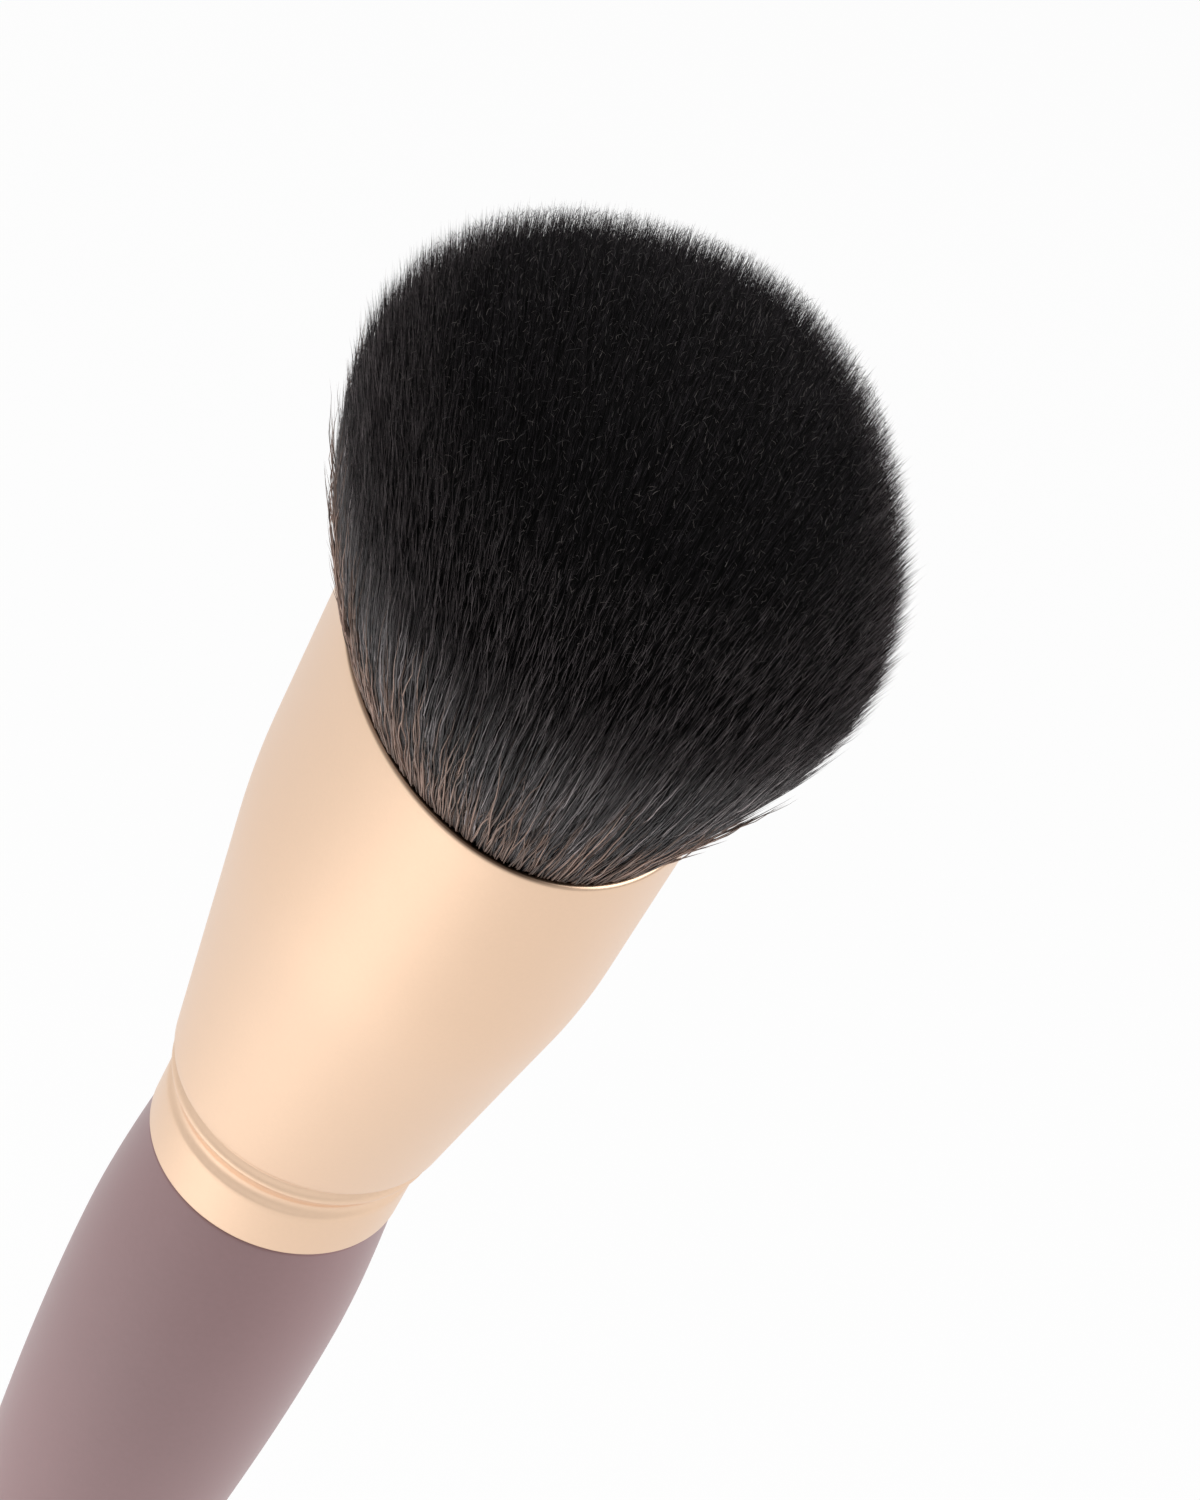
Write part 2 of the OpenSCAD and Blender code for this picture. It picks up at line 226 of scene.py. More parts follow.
def finish_with_grain(tree, shader, place, bump, **values):
    """Puts the satin grain on a material's shader and returns its colour."""
    grain = wire(tree, "ShaderNodeGroup", node_tree=satin_grain)
    tree.links.new(place, grain.inputs["Place"])
    for label, value in values.items():
        grain.inputs[label.replace("_", " ")].default_value = value
    tree.links.new(grain.outputs["Colour"], shader.inputs["Base Color"])
    tree.links.new(grain.outputs["Roughness"], shader.inputs["Roughness"])
    raised = wire(tree, "ShaderNodeBump")
    raised.inputs["Strength"].default_value = 1.0
    raised.inputs["Distance"].default_value = bump
    tree.links.new(grain.outputs["Height"], raised.inputs["Height"])
    tree.links.new(raised.outputs[0], shader.inputs["Normal"])
    return grain.outputs["Colour"]


lacquer, tree, shader, place = new_material("mauve_lacquer")
finish_with_grain(
    tree, shader, place, bump=0.002 * MM,
    Grain_Scale=3000.0, Cloud_Scale=120.0,
    Colour_Low=(0.315, 0.178, 0.183, 1), Colour_High=(0.340, 0.194, 0.199, 1),
    Roughness_Low=0.42, Roughness_High=0.50,
)
shader.inputs["Coat Weight"].default_value = 0.35
shader.inputs["Coat Roughness"].default_value = 0.30
handle.data.materials.append(lacquer)
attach(handle, "root")
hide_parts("handle")

# Glue, resin and thread.
# Amber epoxy holds the tenon in the ferrule and sets the knot's roots, and a waxed thread
# binds the knot. All three lie inside the ferrule, where nothing shows of them.
amber, tree, shader, place = new_material("amber_epoxy")
finish_with_grain(
    tree, shader, place, bump=0.01 * MM,
    Grain_Scale=900.0, Cloud_Scale=200.0,
    Colour_Low=(0.45, 0.28, 0.10, 1), Colour_High=(0.60, 0.40, 0.16, 1),
    Roughness_Low=0.10, Roughness_High=0.20,
)
waxed, tree, shader, place = new_material("waxed_thread")
finish_with_grain(
    tree, shader, place, bump=0.03 * MM,
    Grain_Scale=6000.0, Cloud_Scale=400.0,
    Colour_Low=(0.62, 0.58, 0.50, 1), Colour_High=(0.78, 0.75, 0.68, 1),
    Roughness_Low=0.55, Roughness_High=0.70,
)
for node, material, slot in (
    ("handle_glue", amber, "epoxy"),
    ("knot_resin", amber, "epoxy"),
    ("knot_thread", waxed, "thread"),
):
    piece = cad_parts[node]
    piece.data.materials.clear()
    piece.data.materials.append(material)

# The ferrule.
# One shell drawn from aluminium, anodised champagne with a satin surface. Its round foot has a
# plain band, a crimped groove, a bead and a neck; it widens to a shoulder and ends in an oval
# mouth whose lip is rolled inwards.
ferrule_sides = 224
foot_edge_rings = 6
crimp_rings = 12
bead_rings = 12
neck_rings = 6
outer_rings = 56
lip_rings = 12
inner_rings = 28
ferrule_wall = 0.5 * MM
ferrule_len = mouth_z - joint_z
mouth_w = 12.9 * MM
mouth_t = 8.9 * MM
shoulder_w = 11.4 * MM
shoulder_t = 8.9 * MM
shoulder_drop = 13.6 * MM
shoulder_ease = 2.5 * MM
band_r = 6.5 * MM
band_h = 2.9 * MM
band_edge = 0.2 * MM
band_flat_drop = 0.3 * MM
crimp_h = 1.3 * MM
crimp_depth = 0.2 * MM
crimp_tightness = 1.4
bead_r = 6.85 * MM
bead_h = 1.1 * MM
bead_tightness = 1.2
neck_h = 0.6 * MM
neck_depth = 0.45 * MM
taper_end_r = 7.1 * MM
crimp_top = band_h + crimp_h
bead_top = crimp_top + bead_h
taper_end_h = bead_top + neck_h
taper_end_drop = ferrule_len - taper_end_h


def eased_bend(x, below, above, ease):
    """Two slopes that meet at zero, rounded over a length on each side."""
    if x < -ease:
        return below * x
    if x > ease:
        return above * x
    return below * x + (above - below) * (x + ease) ** 2 / (4 * ease)


def half_axis(drop, at_shoulder, at_mouth):
    """Half the ferrule's width, or its depth, at a distance below the mouth."""
    below = (at_shoulder - taper_end_r) / (taper_end_drop - shoulder_drop)
    above = (at_mouth - at_shoulder) / shoulder_drop
    return at_shoulder + eased_bend(shoulder_drop - drop, below, above, shoulder_ease)


def foot_outline():
    """Height above the joint and radius of the ferrule's round foot."""
    outline = []
    for i in range(foot_edge_rings + 1):
        a = math.pi / 2 * i / foot_edge_rings
        outline.append((band_edge * (1 - math.cos(a)), band_r - band_edge * (1 - math.sin(a))))
    outline.append((band_h - band_flat_drop, band_r))
    for i in range(crimp_rings + 1):
        t = i / crimp_rings
        pressed = crimp_depth * math.sin(math.pi * t) ** crimp_tightness
        outline.append((band_h + crimp_h * t, band_r - pressed))
    for i in range(1, bead_rings + 1):
        t = i / bead_rings
        low = (taper_end_r - neck_depth) * smooth(t) + band_r * (1 - smooth(t))
        swell = (bead_r - low) * math.sin(math.pi * t) ** bead_tightness
        outline.append((crimp_top + bead_h * t, low + swell))
    for i in range(1, neck_rings + 1):
        t = i / neck_rings
        outline.append((bead_top + neck_h * t, taper_end_r - neck_depth * (1 - smooth(t))))
    return outline


def ferrule_rings():
    """Rings up the outside, over the lip and down the inside."""
    lip = ferrule_wall / 2
    foot = [oval(r, r, joint_z + h, ferrule_sides) for h, r in foot_outline()]
    span = taper_end_drop - lip

    def wall(drop, inset):
        w = half_axis(drop, shoulder_w, mouth_w) - inset
        t = half_axis(drop, shoulder_t, mouth_t) - inset
        return oval(w, t, mouth_z - drop, ferrule_sides)

    outer = [wall(taper_end_drop - span * i / outer_rings, 0) for i in range(1, outer_rings + 1)]
    rolled = [
        wall(lip - lip * math.sin(math.pi * i / lip_rings), lip - lip * math.cos(math.pi * i / lip_rings))
        for i in range(1, lip_rings + 1)
    ]
    inner = [wall(lip + span * i / inner_rings, ferrule_wall) for i in range(1, inner_rings)]
    bore = [
        oval(r - ferrule_wall, r - ferrule_wall, joint_z + h, ferrule_sides)
        for h, r in reversed(foot_outline()) if h >= band_edge
    ]
    bore.append(oval(band_r - ferrule_wall, band_r - ferrule_wall, joint_z, ferrule_sides))
    return foot + outer + rolled + inner + bore


ferrule = skin("ferrule_shell", ferrule_rings(), loop=True)
champagne, tree, shader, place = new_material("champagne_anodised")
coat = finish_with_grain(
    tree, shader, place, bump=0.0012 * MM,
    Grain_Scale=5200.0, Cloud_Scale=70.0,
    Colour_Low=(0.868, 0.622, 0.446, 1), Colour_High=(0.898, 0.646, 0.466, 1),
    Roughness_Low=0.29, Roughness_High=0.35,
)
shader.inputs["Metallic"].default_value = 1.0
# A painted reflection of the dark fibres darkens the rolled lip to brown on one side, fading out below the
# edge and towards the end of the oval where most of the lip stays bare
lip_reflection_colour = (0.050, 0.027, 0.017, 1)
lip_reflection_drop = 0.21 * MM
lip_reflection_full_share = 0.3
lip_reflection_most = 0.96
reflection_fade_way = (-0.42, -0.91, 0.0)
reflection_fade_from = 3.5 * MM
reflection_fade_to = 7.5 * MM
reflection_at_fade_end = 0.4
height = wire(tree, "ShaderNodeSeparateXYZ", place).outputs[2]
lip_reflection = wire(
    tree, "ShaderNodeMapRange", height,
    mouth_z - lip_reflection_drop, mouth_z - lip_reflection_full_share * lip_reflection_drop, 0.0, lip_reflection_most,
    interpolation_type="SMOOTHSTEP",
)
towards_fade = wire(tree, "ShaderNodeVectorMath", place, reflection_fade_way, operation="DOT_PRODUCT").outputs["Value"]
reflection_kept = wire(
    tree, "ShaderNodeMapRange", towards_fade, reflection_fade_from, reflection_fade_to, 1.0, reflection_at_fade_end,
    interpolation_type="SMOOTHSTEP",
)
amount = wire(tree, "ShaderNodeMath", lip_reflection.outputs[0], reflection_kept.outputs[0], operation="MULTIPLY").outputs[0]
tree.links.new(blended(tree, amount, coat, lip_reflection_colour), shader.inputs["Base Color"])
ferrule.data.materials.append(champagne)
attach(ferrule, "root")
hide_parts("ferrule")

# The packed fibres.
# Fine black synthetic fibres, packed into an oval bundle that spreads as it leaves the mouth and
# is trimmed to a dome. Below the surface they lie so close that they are one dark body.
head_h = 19.8 * MM
head_shoulder_h = 10.2 * MM
head_spread_w = 2.6 * MM
head_spread_t = 4.1 * MM
head_corner_share = 0.055
bundle_gap = 0.04 * MM
mouth_in_w = mouth_w - ferrule_wall - bundle_gap
mouth_in_t = mouth_t - ferrule_wall - bundle_gap
mass_depth = 1.2 * MM
mass_root_depth = 0.45 * MM
mass_drop = 2.0 * MM
mass_sides = 96
root_rings = 4
rise_rings = 14
dome_rings = 24


def fibre_shade_group():
    """Colour and roughness of a fibre, from its own tone, the way along it and its height on the head, with
    light and shade painted in.
    """
    shown_at_mouth = 1.08
    lip_shadow_h, lip_shadow = 1.3 * MM, 0.3
    edge_sheen_from, edge_sheen_pick = 0.6, 2.5
    group = bpy.data.node_groups.new("fibre_shade", "ShaderNodeTree")
    add_sockets(group, "INPUT", "Vector", "Place")
    add_sockets(group, "INPUT", "Color", "Dark", "Light", "Tip", "Edge")
    add_sockets(
        group, "INPUT", "Float", "Mouth Height", "Fade Height", "Few", "Faded", "Edge Amount",
        "Tip Start", "Tip Amount", "Tuft Amount", "Roughness Low", "Roughness High",
    )
    add_sockets(group, "OUTPUT", "Color", "Colour")
    add_sockets(group, "OUTPUT", "Float", "Roughness")
    given = wire(group, "NodeGroupInput").outputs
    result = wire(group, "NodeGroupOutput").inputs

    def calc(operation, *values):
        return wire(group, "ShaderNodeMath", *values, operation=operation).outputs[0]

    def ramp(value, low, high, at_low, at_high):
        return wire(group, "ShaderNodeMapRange", value, low, high, at_low, at_high).outputs[0]

    def own(label):
        return wire(group, "ShaderNodeAttribute", attribute_name=label).outputs["Fac"]

    # How light a fibre is, with fewer light ones higher up as a painted fall-off of light from below, and
    # painted shade in a tuft and just over the lip
    tone = own("tone")
    height = wire(group, "ShaderNodeSeparateXYZ", given["Place"]).outputs[2]
    top = calc("ADD", given["Mouth Height"], given["Fade Height"])
    shown = ramp(height, given["Mouth Height"], top, shown_at_mouth, given["Faded"])
    picked = calc("POWER", tone, calc("DIVIDE", given["Few"], shown))
    picked = calc("MULTIPLY", picked, shown)
    lip = calc("ADD", given["Mouth Height"], lip_shadow_h)
    picked = calc("MULTIPLY", picked, ramp(height, given["Mouth Height"], lip, lip_shadow, 1.0))
    shaded = calc("MULTIPLY", own("tuft"), given["Tuft Amount"])
    picked = calc("MULTIPLY", picked, calc("SUBTRACT", 1.0, shaded))
    body = blended(group, picked, given["Dark"], given["Light"])

    # Towards the crown's edge a painted sheen stands for the light catching more of each fibre, and its tip
    # is lighter again
    outward = ramp(own("share"), edge_sheen_from, 1.0, 0.0, given["Edge Amount"])
    edge_sheened = blended(group, calc("MULTIPLY", outward, calc("POWER", tone, edge_sheen_pick)), body, given["Edge"])
    end = ramp(own("along"), given["Tip Start"], 1.0, 0.0, given["Tip Amount"])
    ended = blended(group, calc("MULTIPLY", end, shown), edge_sheened, given["Tip"])
    group.links.new(ended, result["Colour"])
    gloss = ramp(tone, 0.0, 1.0, given["Roughness Low"], given["Roughness High"])
    group.links.new(gloss, result["Roughness"])
    return group


fibre_shade = fibre_shade_group()


def fibre_material(name, specular, **values):
    """A fibre finish: most fibres dark, a few light, and the light ones fewer with height, as painted light
    from below.
    """
    material, tree, shader, place = new_material(name)
    shade = wire(tree, "ShaderNodeGroup", node_tree=fibre_shade)
    tree.links.new(place, shade.inputs["Place"])
    shade.inputs["Mouth Height"].default_value = mouth_z
    for label, value in values.items():
        shade.inputs[label.replace("_", " ")].default_value = value
    tree.links.new(shade.outputs["Colour"], shader.inputs["Base Color"])
    tree.links.new(shade.outputs["Roughness"], shader.inputs["Roughness"])
    shader.inputs["Specular IOR Level"].default_value = specular
    return material


def risen(h):
    """How far a height has come on the way up to the head's shoulder, from 0 to 1."""
    return min(max(h / head_shoulder_h, 0), 1)


def head_ring(h, inset, share=1.0, z=None):
    """A ring of the head's outline at a height, drawn in by an inset and scaled by a share."""
    spread = risen(h) * (3 - risen(h)) / 2
    w = (mouth_in_w + head_spread_w * spread - inset) * share
    t = (mouth_in_t + head_spread_t * spread - inset) * share
    ring = []
    for i in range(mass_sides):
        a = math.tau * i / mass_sides
        corner = 1 + head_corner_share * risen(h) * math.sin(2 * a) ** 2
        ring.append((w * corner * math.cos(a), t * corner * math.sin(a), mouth_z + h if z is None else z))
    return ring


def mass_rings():
    """Rings from inside the mouth up to the shoulder and over the dome."""
    rings = [head_ring(-mass_drop * (1 - i / root_rings), mass_root_depth) for i in range(root_rings + 1)]
    for i in range(1, rise_rings + 1):
        share = i / rise_rings
        inset = mass_root_depth + (mass_depth - mass_root_depth) * share
        rings.append(head_ring(head_shoulder_h * share, inset))
    for i in range(1, dome_rings):
        a = math.pi / 2 * i / dome_rings
        top = (head_h - head_shoulder_h - mass_depth) * math.sin(a)
        rings.append(head_ring(head_shoulder_h, mass_depth, math.cos(a), mouth_z + head_shoulder_h + top))
    return rings


# The body has no tone of its own, so it takes the dark colour and the low roughness
packed = fibre_material(
    "packed_fibre", specular=0.02,
    Dark=(0.003, 0.003, 0.003, 1), Few=1.0, Faded=1.0, Fade_Height=head_h, Roughness_Low=0.8,
)
mass = skin("black_fibre_mass", mass_rings())
mass.data.materials.append(packed)
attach(mass, "root")
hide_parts("black_fibres")

# The crown.
# The tapered tips of the black fibres, trimmed to a dome. They stand so close that nothing else
# shows of them, and are grown here in three zones, from the middle of the crown to its edge.
crown_zones = (0.0, 0.565, 0.8, 0.98)
root_drop = 0.8 * MM


def fibre_tree():
    """Fibres that fan out of the mouth together, each in its own place in the bundle. Above the
    head's shoulder each goes straight on outwards, up to where the trim cuts it to the dome."""
    # The turn from each fibre to the next, and how far chance moves it
    golden_turn, turn_chance = 2.399963, 0.02
    # How much the lean, the wave, its length and the thickness differ, as shares of their sizes
    least_lean, least_wave = 0.1, 0.4
    short_wave, long_wave = 0.7, 1.4
    thin, thick = 0.38, 0.62
    # Points crowd towards the root, the bundle spreads fast at first, and waves grow from the lip up
    late_climb, spread_bow, still_share = 0.6, 0.5, 0.2
    # A strand that starts above the mouth has its lower end under the surface
    buried_share, buried_height = 0.3, 1 * MM
    # Heights about the lip between which the outermost fibres lean out
    lip_low, lip_high = -0.2 * MM, 0.1 * MM
    # Tufts and clumps come from noise
    tuft_low, tuft_high, tuft_detail = 0.40, 0.60, 1.0
    clump_detail, noise_middle = 2.0, (0.5, 0.5, 0.5)
    # The corner's and the taper's divisions are by these at least
    least_square, least_free = 0.0001, 0.001
    tree = bpy.data.node_groups.new("fibres", "GeometryNodeTree")
    add_sockets(tree, "OUTPUT", "Geometry", "Geometry")
    add_sockets(tree, "INPUT", "Int", "Count", "Seed", "Segments")
    add_sockets(
        tree, "INPUT", "Float", "Inner Share", "Outer Share",
        "Mouth Half Width", "Mouth Half Depth", "Mouth Height", "Spread Width", "Spread Depth",
        "Corner Share", "Shoulder Height", "Dome Height", "Root Drop", "Length Low", "Length High",
        "Tip Share Low", "Tip Share High", "Tip Raise", "Diameter", "Taper Share", "Stand Out", "Sink",
        "Lean", "Kept In", "Hook", "Clump", "Clump Scale", "Wave", "Wave Length", "Tuft Scale",
        "Splay", "Even Sides",
    )
    add_sockets(tree, "INPUT", "Vector", "Splay Way", "Slant", "Flank")
    add_sockets(tree, "INPUT", "Material", "Material")
    given = wire(tree, "NodeGroupInput").outputs

    def calc(operation, *values):
        return wire(tree, "ShaderNodeMath", *values, operation=operation).outputs[0]

    def vector(operation, *values):
        return wire(tree, "ShaderNodeVectorMath", *values, operation=operation).outputs[0]

    def dot(first, second):
        return wire(tree, "ShaderNodeVectorMath", first, second, operation="DOT_PRODUCT").outputs["Value"]

    def product(first, *others):
        for value in others:
            first = calc("MULTIPLY", first, value)
        return first

    def total(first, *others):
        for value in others:
            first = calc("ADD", first, value)
        return first

    def less(first, second):
        return calc("SUBTRACT", first, second)

    def ratio(first, second):
        return calc("DIVIDE", first, second)

    def ramp(value, low, high):
        return wire(tree, "ShaderNodeMapRange", value, low, high, 0.0, 1.0).outputs[0]

    def turned_by(bearing, size):
        x, y = product(size, calc("COSINE", bearing)), product(size, calc("SINE", bearing))
        return wire(tree, "ShaderNodeCombineXYZ", x, y).outputs[0]

    def parts(value):
        return wire(tree, "ShaderNodeSeparateXYZ", value).outputs

    index = wire(tree, "GeometryNodeInputIndex").outputs[0]

    def chance(low, high, draw):
        """A number by chance for each fibre. The node's inputs of other kinds are passed over."""
        own_seed = calc("ADD", given["Seed"], float(draw))
        return wire(
            tree, "FunctionNodeRandomValue", None, None, low, high, None, None, None, index, own_seed,
            data_type="FLOAT",
        ).outputs[1]

    def store(geometry, label, value, kind="FLOAT"):
        """Keeps a value on every point, where stored reads it again after the fibres are placed."""
        node = wire(tree, "GeometryNodeStoreNamedAttribute", geometry, data_type=kind, domain="POINT")
        node.inputs["Name"].default_value = label
        tree.links.new(value, node.inputs["Value"])
        return node.outputs[0]

    def stored(label, kind="FLOAT"):
        node = wire(tree, "GeometryNodeInputNamedAttribute", data_type=kind)
        node.inputs["Name"].default_value = label
        return node.outputs["Attribute"]

    # Where each fibre starts in the bundle, as a share of the mouth's half axes
    inner = product(given["Inner Share"], given["Inner Share"])
    outer = product(given["Outer Share"], given["Outer Share"])
    even = ratio(total(index, chance(0.0, 1.0, 1)), given["Count"])
    share = calc("SQRT", total(inner, product(even, less(outer, inner))))
    bearing = total(product(index, golden_turn), chance(-turn_chance, turn_chance, 2))
    bearing = total(bearing, product(given["Even Sides"], calc("SINE", product(bearing, 2.0))))
    root = turned_by(bearing, share)
    points = wire(tree, "GeometryNodePoints", given["Count"], root).outputs[0]

    # The dome's height where a fibre meets it, on its straight way outwards above the shoulder
    inside = calc("MAXIMUM", less(1.0, product(share, share)), 0.0)
    out_way = vector("ADD", root, given["Splay Way"])
    speed = ratio(given["Splay"], total(given["Mouth Half Width"], given["Spread Width"]))
    outward = product(dot(root, out_way), speed)
    curved = total(
        product(dot(out_way, out_way), speed, speed),
        ratio(1.0, product(given["Dome Height"], given["Dome Height"])),
    )
    reach = calc("SQRT", total(product(outward, outward), product(curved, inside)))
    dome = total(given["Shoulder Height"], ratio(less(reach, outward), curved))

    # What is each fibre's own
    slant = dot(root, given["Slant"])
    flank_sheen = dot(root, given["Flank"])
    trim = chance(given["Tip Share Low"], given["Tip Share High"], 3)
    trim = calc("MINIMUM", product(trim, total(slant, 1.0)), 1.0)
    tip = total(product(dome, trim), product(given["Tip Raise"], chance(-1.0, 1.0, 4)))
    length = chance(given["Length Low"], given["Length High"], 5)
    away = vector("NORMALIZE", root)
    lean = turned_by(chance(0.0, math.tau, 6), product(given["Lean"], chance(least_lean, 1.0, 9)))
    held = wire(tree, "ShaderNodeVectorMath", away, operation="SCALE")
    tree.links.new(product(given["Kept In"], calc("MAXIMUM", dot(lean, away), 0.0)), held.inputs["Scale"])
    lean_x, lean_y, _ = parts(vector("SUBTRACT", lean, held.outputs[0]))
    tuft = wire(tree, "ShaderNodeTexNoise", away, None, given["Tuft Scale"], tuft_detail).outputs[0]
    # The flank term lightens the fibres towards both flanks of the head: a painted sheen
    tone = total(chance(0.0, 1.0, 7), slant, product(flank_sheen, flank_sheen))
    points = store(points, "root", root, "FLOAT_VECTOR")
    points = store(points, "out_way", out_way, "FLOAT_VECTOR")
    for label, value in (
        ("tip_height", tip),
        ("root_height", calc("MAXIMUM", less(tip, length), product(given["Root Drop"], -1.0))),
        ("tone", calc("MAXIMUM", calc("MINIMUM", tone, 1.0), 0.0)),
        ("share", share),
        ("tuft", ramp(tuft, tuft_low, tuft_high)),
        ("phase", chance(0.0, math.tau, 8)),
        ("lean_x", lean_x),
        ("lean_y", lean_y),
        ("hook_way", chance(0.0, math.tau, 10)),
        ("thickness", product(given["Diameter"], chance(thin, thick, 11))),
        ("wave_length", product(given["Wave Length"], chance(short_wave, long_wave, 13))),
        ("wave", product(given["Wave"], chance(least_wave, 1.0, 14))),
    ):
        points = store(points, label, value)

    # One fibre, a three-sided cone of one unit that the steps below shape, at every point
    fibre = wire(tree, "GeometryNodeMeshCone", 3, given["Segments"], 1, 0.0, 1.0, 1.0)
    turned = wire(tree, "ShaderNodeCombineXYZ", 0.0, 0.0, chance(0.0, math.tau, 12)).outputs[0]
    placed = wire(tree, "GeometryNodeInstanceOnPoints", points)
    tree.links.new(fibre.outputs[0], placed.inputs["Instance"])
    tree.links.new(turned, placed.inputs["Rotation"])
    solid = wire(tree, "GeometryNodeRealizeInstances", placed.outputs[0]).outputs[0]

    # How high every point along a fibre stands, and how far the bundle has spread there
    root = stored("root", "FLOAT_VECTOR")
    local = vector("SUBTRACT", wire(tree, "GeometryNodeInputPosition").outputs[0], root)
    solid = store(solid, "along", parts(local)[2])
    along = stored("along")
    local_x, local_y, _ = parts(local)
    root_x, root_y, _ = parts(root)
    rise = less(stored("tip_height"), stored("root_height"))
    climb = product(along, total(product(along, late_climb), 1.0 - late_climb))
    height = total(stored("root_height"), product(climb, rise))
    up = ramp(height, 0.0, given["Shoulder Height"])
    spread = product(up, less(1.0 + spread_bow, product(up, spread_bow)))
    clear = ramp(height, 0.0, product(given["Shoulder Height"], still_share))
    around = calc("MAXIMUM", total(product(root_x, root_x), product(root_y, root_y)), least_square)
    corner = calc("POWER", ratio(product(root_x, root_y, 2.0), around), 2.0)
    square = total(product(given["Corner Share"], product(up, corner)), 1.0)
    splayed = product(given["Splay"], calc("MAXIMUM", less(height, given["Shoulder Height"]), 0.0))

    # Its taper, its wave and its hook, how far it stands off the bundle, and the clump it is in
    free = less(1.0, along)
    tapered = calc("MINIMUM", 1.0, ratio(free, given["Taper Share"]))
    width = ratio(tapered, calc("MAXIMUM", free, least_free))
    thickness = product(stored("thickness"), width)
    bowed = product(along, along)
    wave_turn = total(stored("phase"), ratio(product(height, math.tau), stored("wave_length")))
    swing = product(stored("wave"), clear, calc("SINE", wave_turn))
    hooked = product(given["Hook"], bowed, along)
    buried = product(
        less(1.0, ramp(along, 0.0, buried_share)), ramp(stored("root_height"), 0.0, buried_height))
    past_lip = ramp(height, lip_low, lip_high)
    proud = less(product(given["Stand Out"], past_lip), product(given["Sink"], buried))
    gather = product(given["Clump"], spread)
    clump = wire(tree, "ShaderNodeTexNoise", root, None, given["Clump Scale"], clump_detail).outputs[1]
    drift_x, drift_y, _ = parts(vector("SUBTRACT", clump, noise_middle))
    out_x, out_y, _ = parts(stored("out_way", "FLOAT_VECTOR"))

    def side(size, at_root, out_part, local_part, drift_part, lean_part, wave):
        """Where a point lies across the bundle, on its wide way or on its thin way."""
        half = total(given["Mouth Half " + size], product(given["Spread " + size], spread), proud)
        fanned = product(at_root, half, square)
        leaned = product(lean_part, bowed, rise)
        waved = product(swing, calc(wave, total(stored("hook_way"), 1.0)))
        curled = product(hooked, calc(wave, stored("hook_way")))
        return total(
            fanned, product(out_part, splayed), leaned, waved, curled,
            product(gather, drift_part), product(local_part, thickness),
        )

    moved = wire(
        tree, "ShaderNodeCombineXYZ",
        side("Width", root_x, out_x, local_x, drift_x, stored("lean_x"), "COSINE"),
        side("Depth", root_y, out_y, local_y, drift_y, stored("lean_y"), "SINE"),
        total(given["Mouth Height"], height),
    ).outputs[0]
    solid = wire(tree, "GeometryNodeSetPosition", solid, True, moved).outputs[0]
    solid = wire(tree, "GeometryNodeSetShadeSmooth", solid).outputs[0]
    dressed = wire(tree, "GeometryNodeSetMaterial", solid, True, given["Material"]).outputs[0]
    tree.links.new(dressed, wire(tree, "NodeGroupOutput").inputs[0])
    return tree


fibres = fibre_tree()
head_sizes = {
    "Mouth Half Width": mouth_in_w, "Mouth Half Depth": mouth_in_t, "Mouth Height": mouth_z,
    "Spread Width": head_spread_w, "Spread Depth": head_spread_t, "Corner Share": head_corner_share,
    "Shoulder Height": head_shoulder_h, "Dome Height": head_h - head_shoulder_h, "Root Drop": root_drop,
    "Splay": 0.30, "Splay Way": (0.12, 0.27, 0.0), "Even Sides": 0.0, "Kept In": 0.0,
    "Stand Out": 0.0, "Sink": 0.0, "Tip Share Low": 1.0, "Tip Share High": 1.0,
    "Clump": 0.0, "Clump Scale": 16.0, "Wave": 0.0, "Wave Length": 3 * MM, "Tuft Scale": 60.0,
    "Slant": (0.0, 0.0, 0.0), "Flank": (0.0, 0.0, 0.0),
}


def grow(name, material, node, slot, **sizes):
    """Makes one body of fibres as a plain mesh that stands for a node of the frame."""
    own_sizes = {key.replace("_", " "): value for key, value in sizes.items()}
    values = {**head_sizes, **own_sizes, "Material": material}
    piece = bpy.data.objects.new(name, bpy.data.meshes.new(name))
    bpy.context.scene.collection.objects.link(piece)
    growth = piece.modifiers.new("growth", "NODES")
    growth.node_group = fibres
    for socket in fibres.interface.items_tree:
        if socket.item_type == "SOCKET" and socket.in_out == "INPUT":
            growth[socket.identifier] = values[socket.name]
    grown = piece.evaluated_get(bpy.context.evaluated_depsgraph_get())
    mesh = bpy.data.meshes.new_from_object(grown)
    piece.modifiers.clear()
    piece.data = mesh
    mesh.name = name
    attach(piece, "root")
    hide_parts(node)


# The edge colour is a painted sheen on the fibres towards the crown's edge
black_tips = fibre_material(
    "black_fibre_tips", specular=0.06,
    Dark=(0.0058, 0.0051, 0.0058, 1), Light=(0.060, 0.052, 0.058, 1), Tip=(0.094, 0.083, 0.087, 1),
    Edge=(0.330, 0.288, 0.292, 1), Edge_Amount=1.0, Tip_Start=0.92, Tip_Amount=0.8,
    Few=6.0, Faded=1.0, Fade_Height=head_h, Roughness_Low=0.45, Roughness_High=0.65,
)
for zone, label in enumerate(("middle", "ring", "edge")):
    grow(
        "black_crown_" + label, black_tips, "black_fibres", "black_fibre",
        Count=12000, Seed=100 + zone, Segments=3,
        Inner_Share=crown_zones[zone], Outer_Share=crown_zones[zone + 1],
        Length_Low=2.4 * MM, Length_High=4.0 * MM, Tip_Raise=0.45 * MM,
        Diameter=0.058 * MM, Taper_Share=0.8, Lean=0.10, Hook=0.2 * MM, Clump=0.4 * MM, Clump_Scale=24.0,
    )
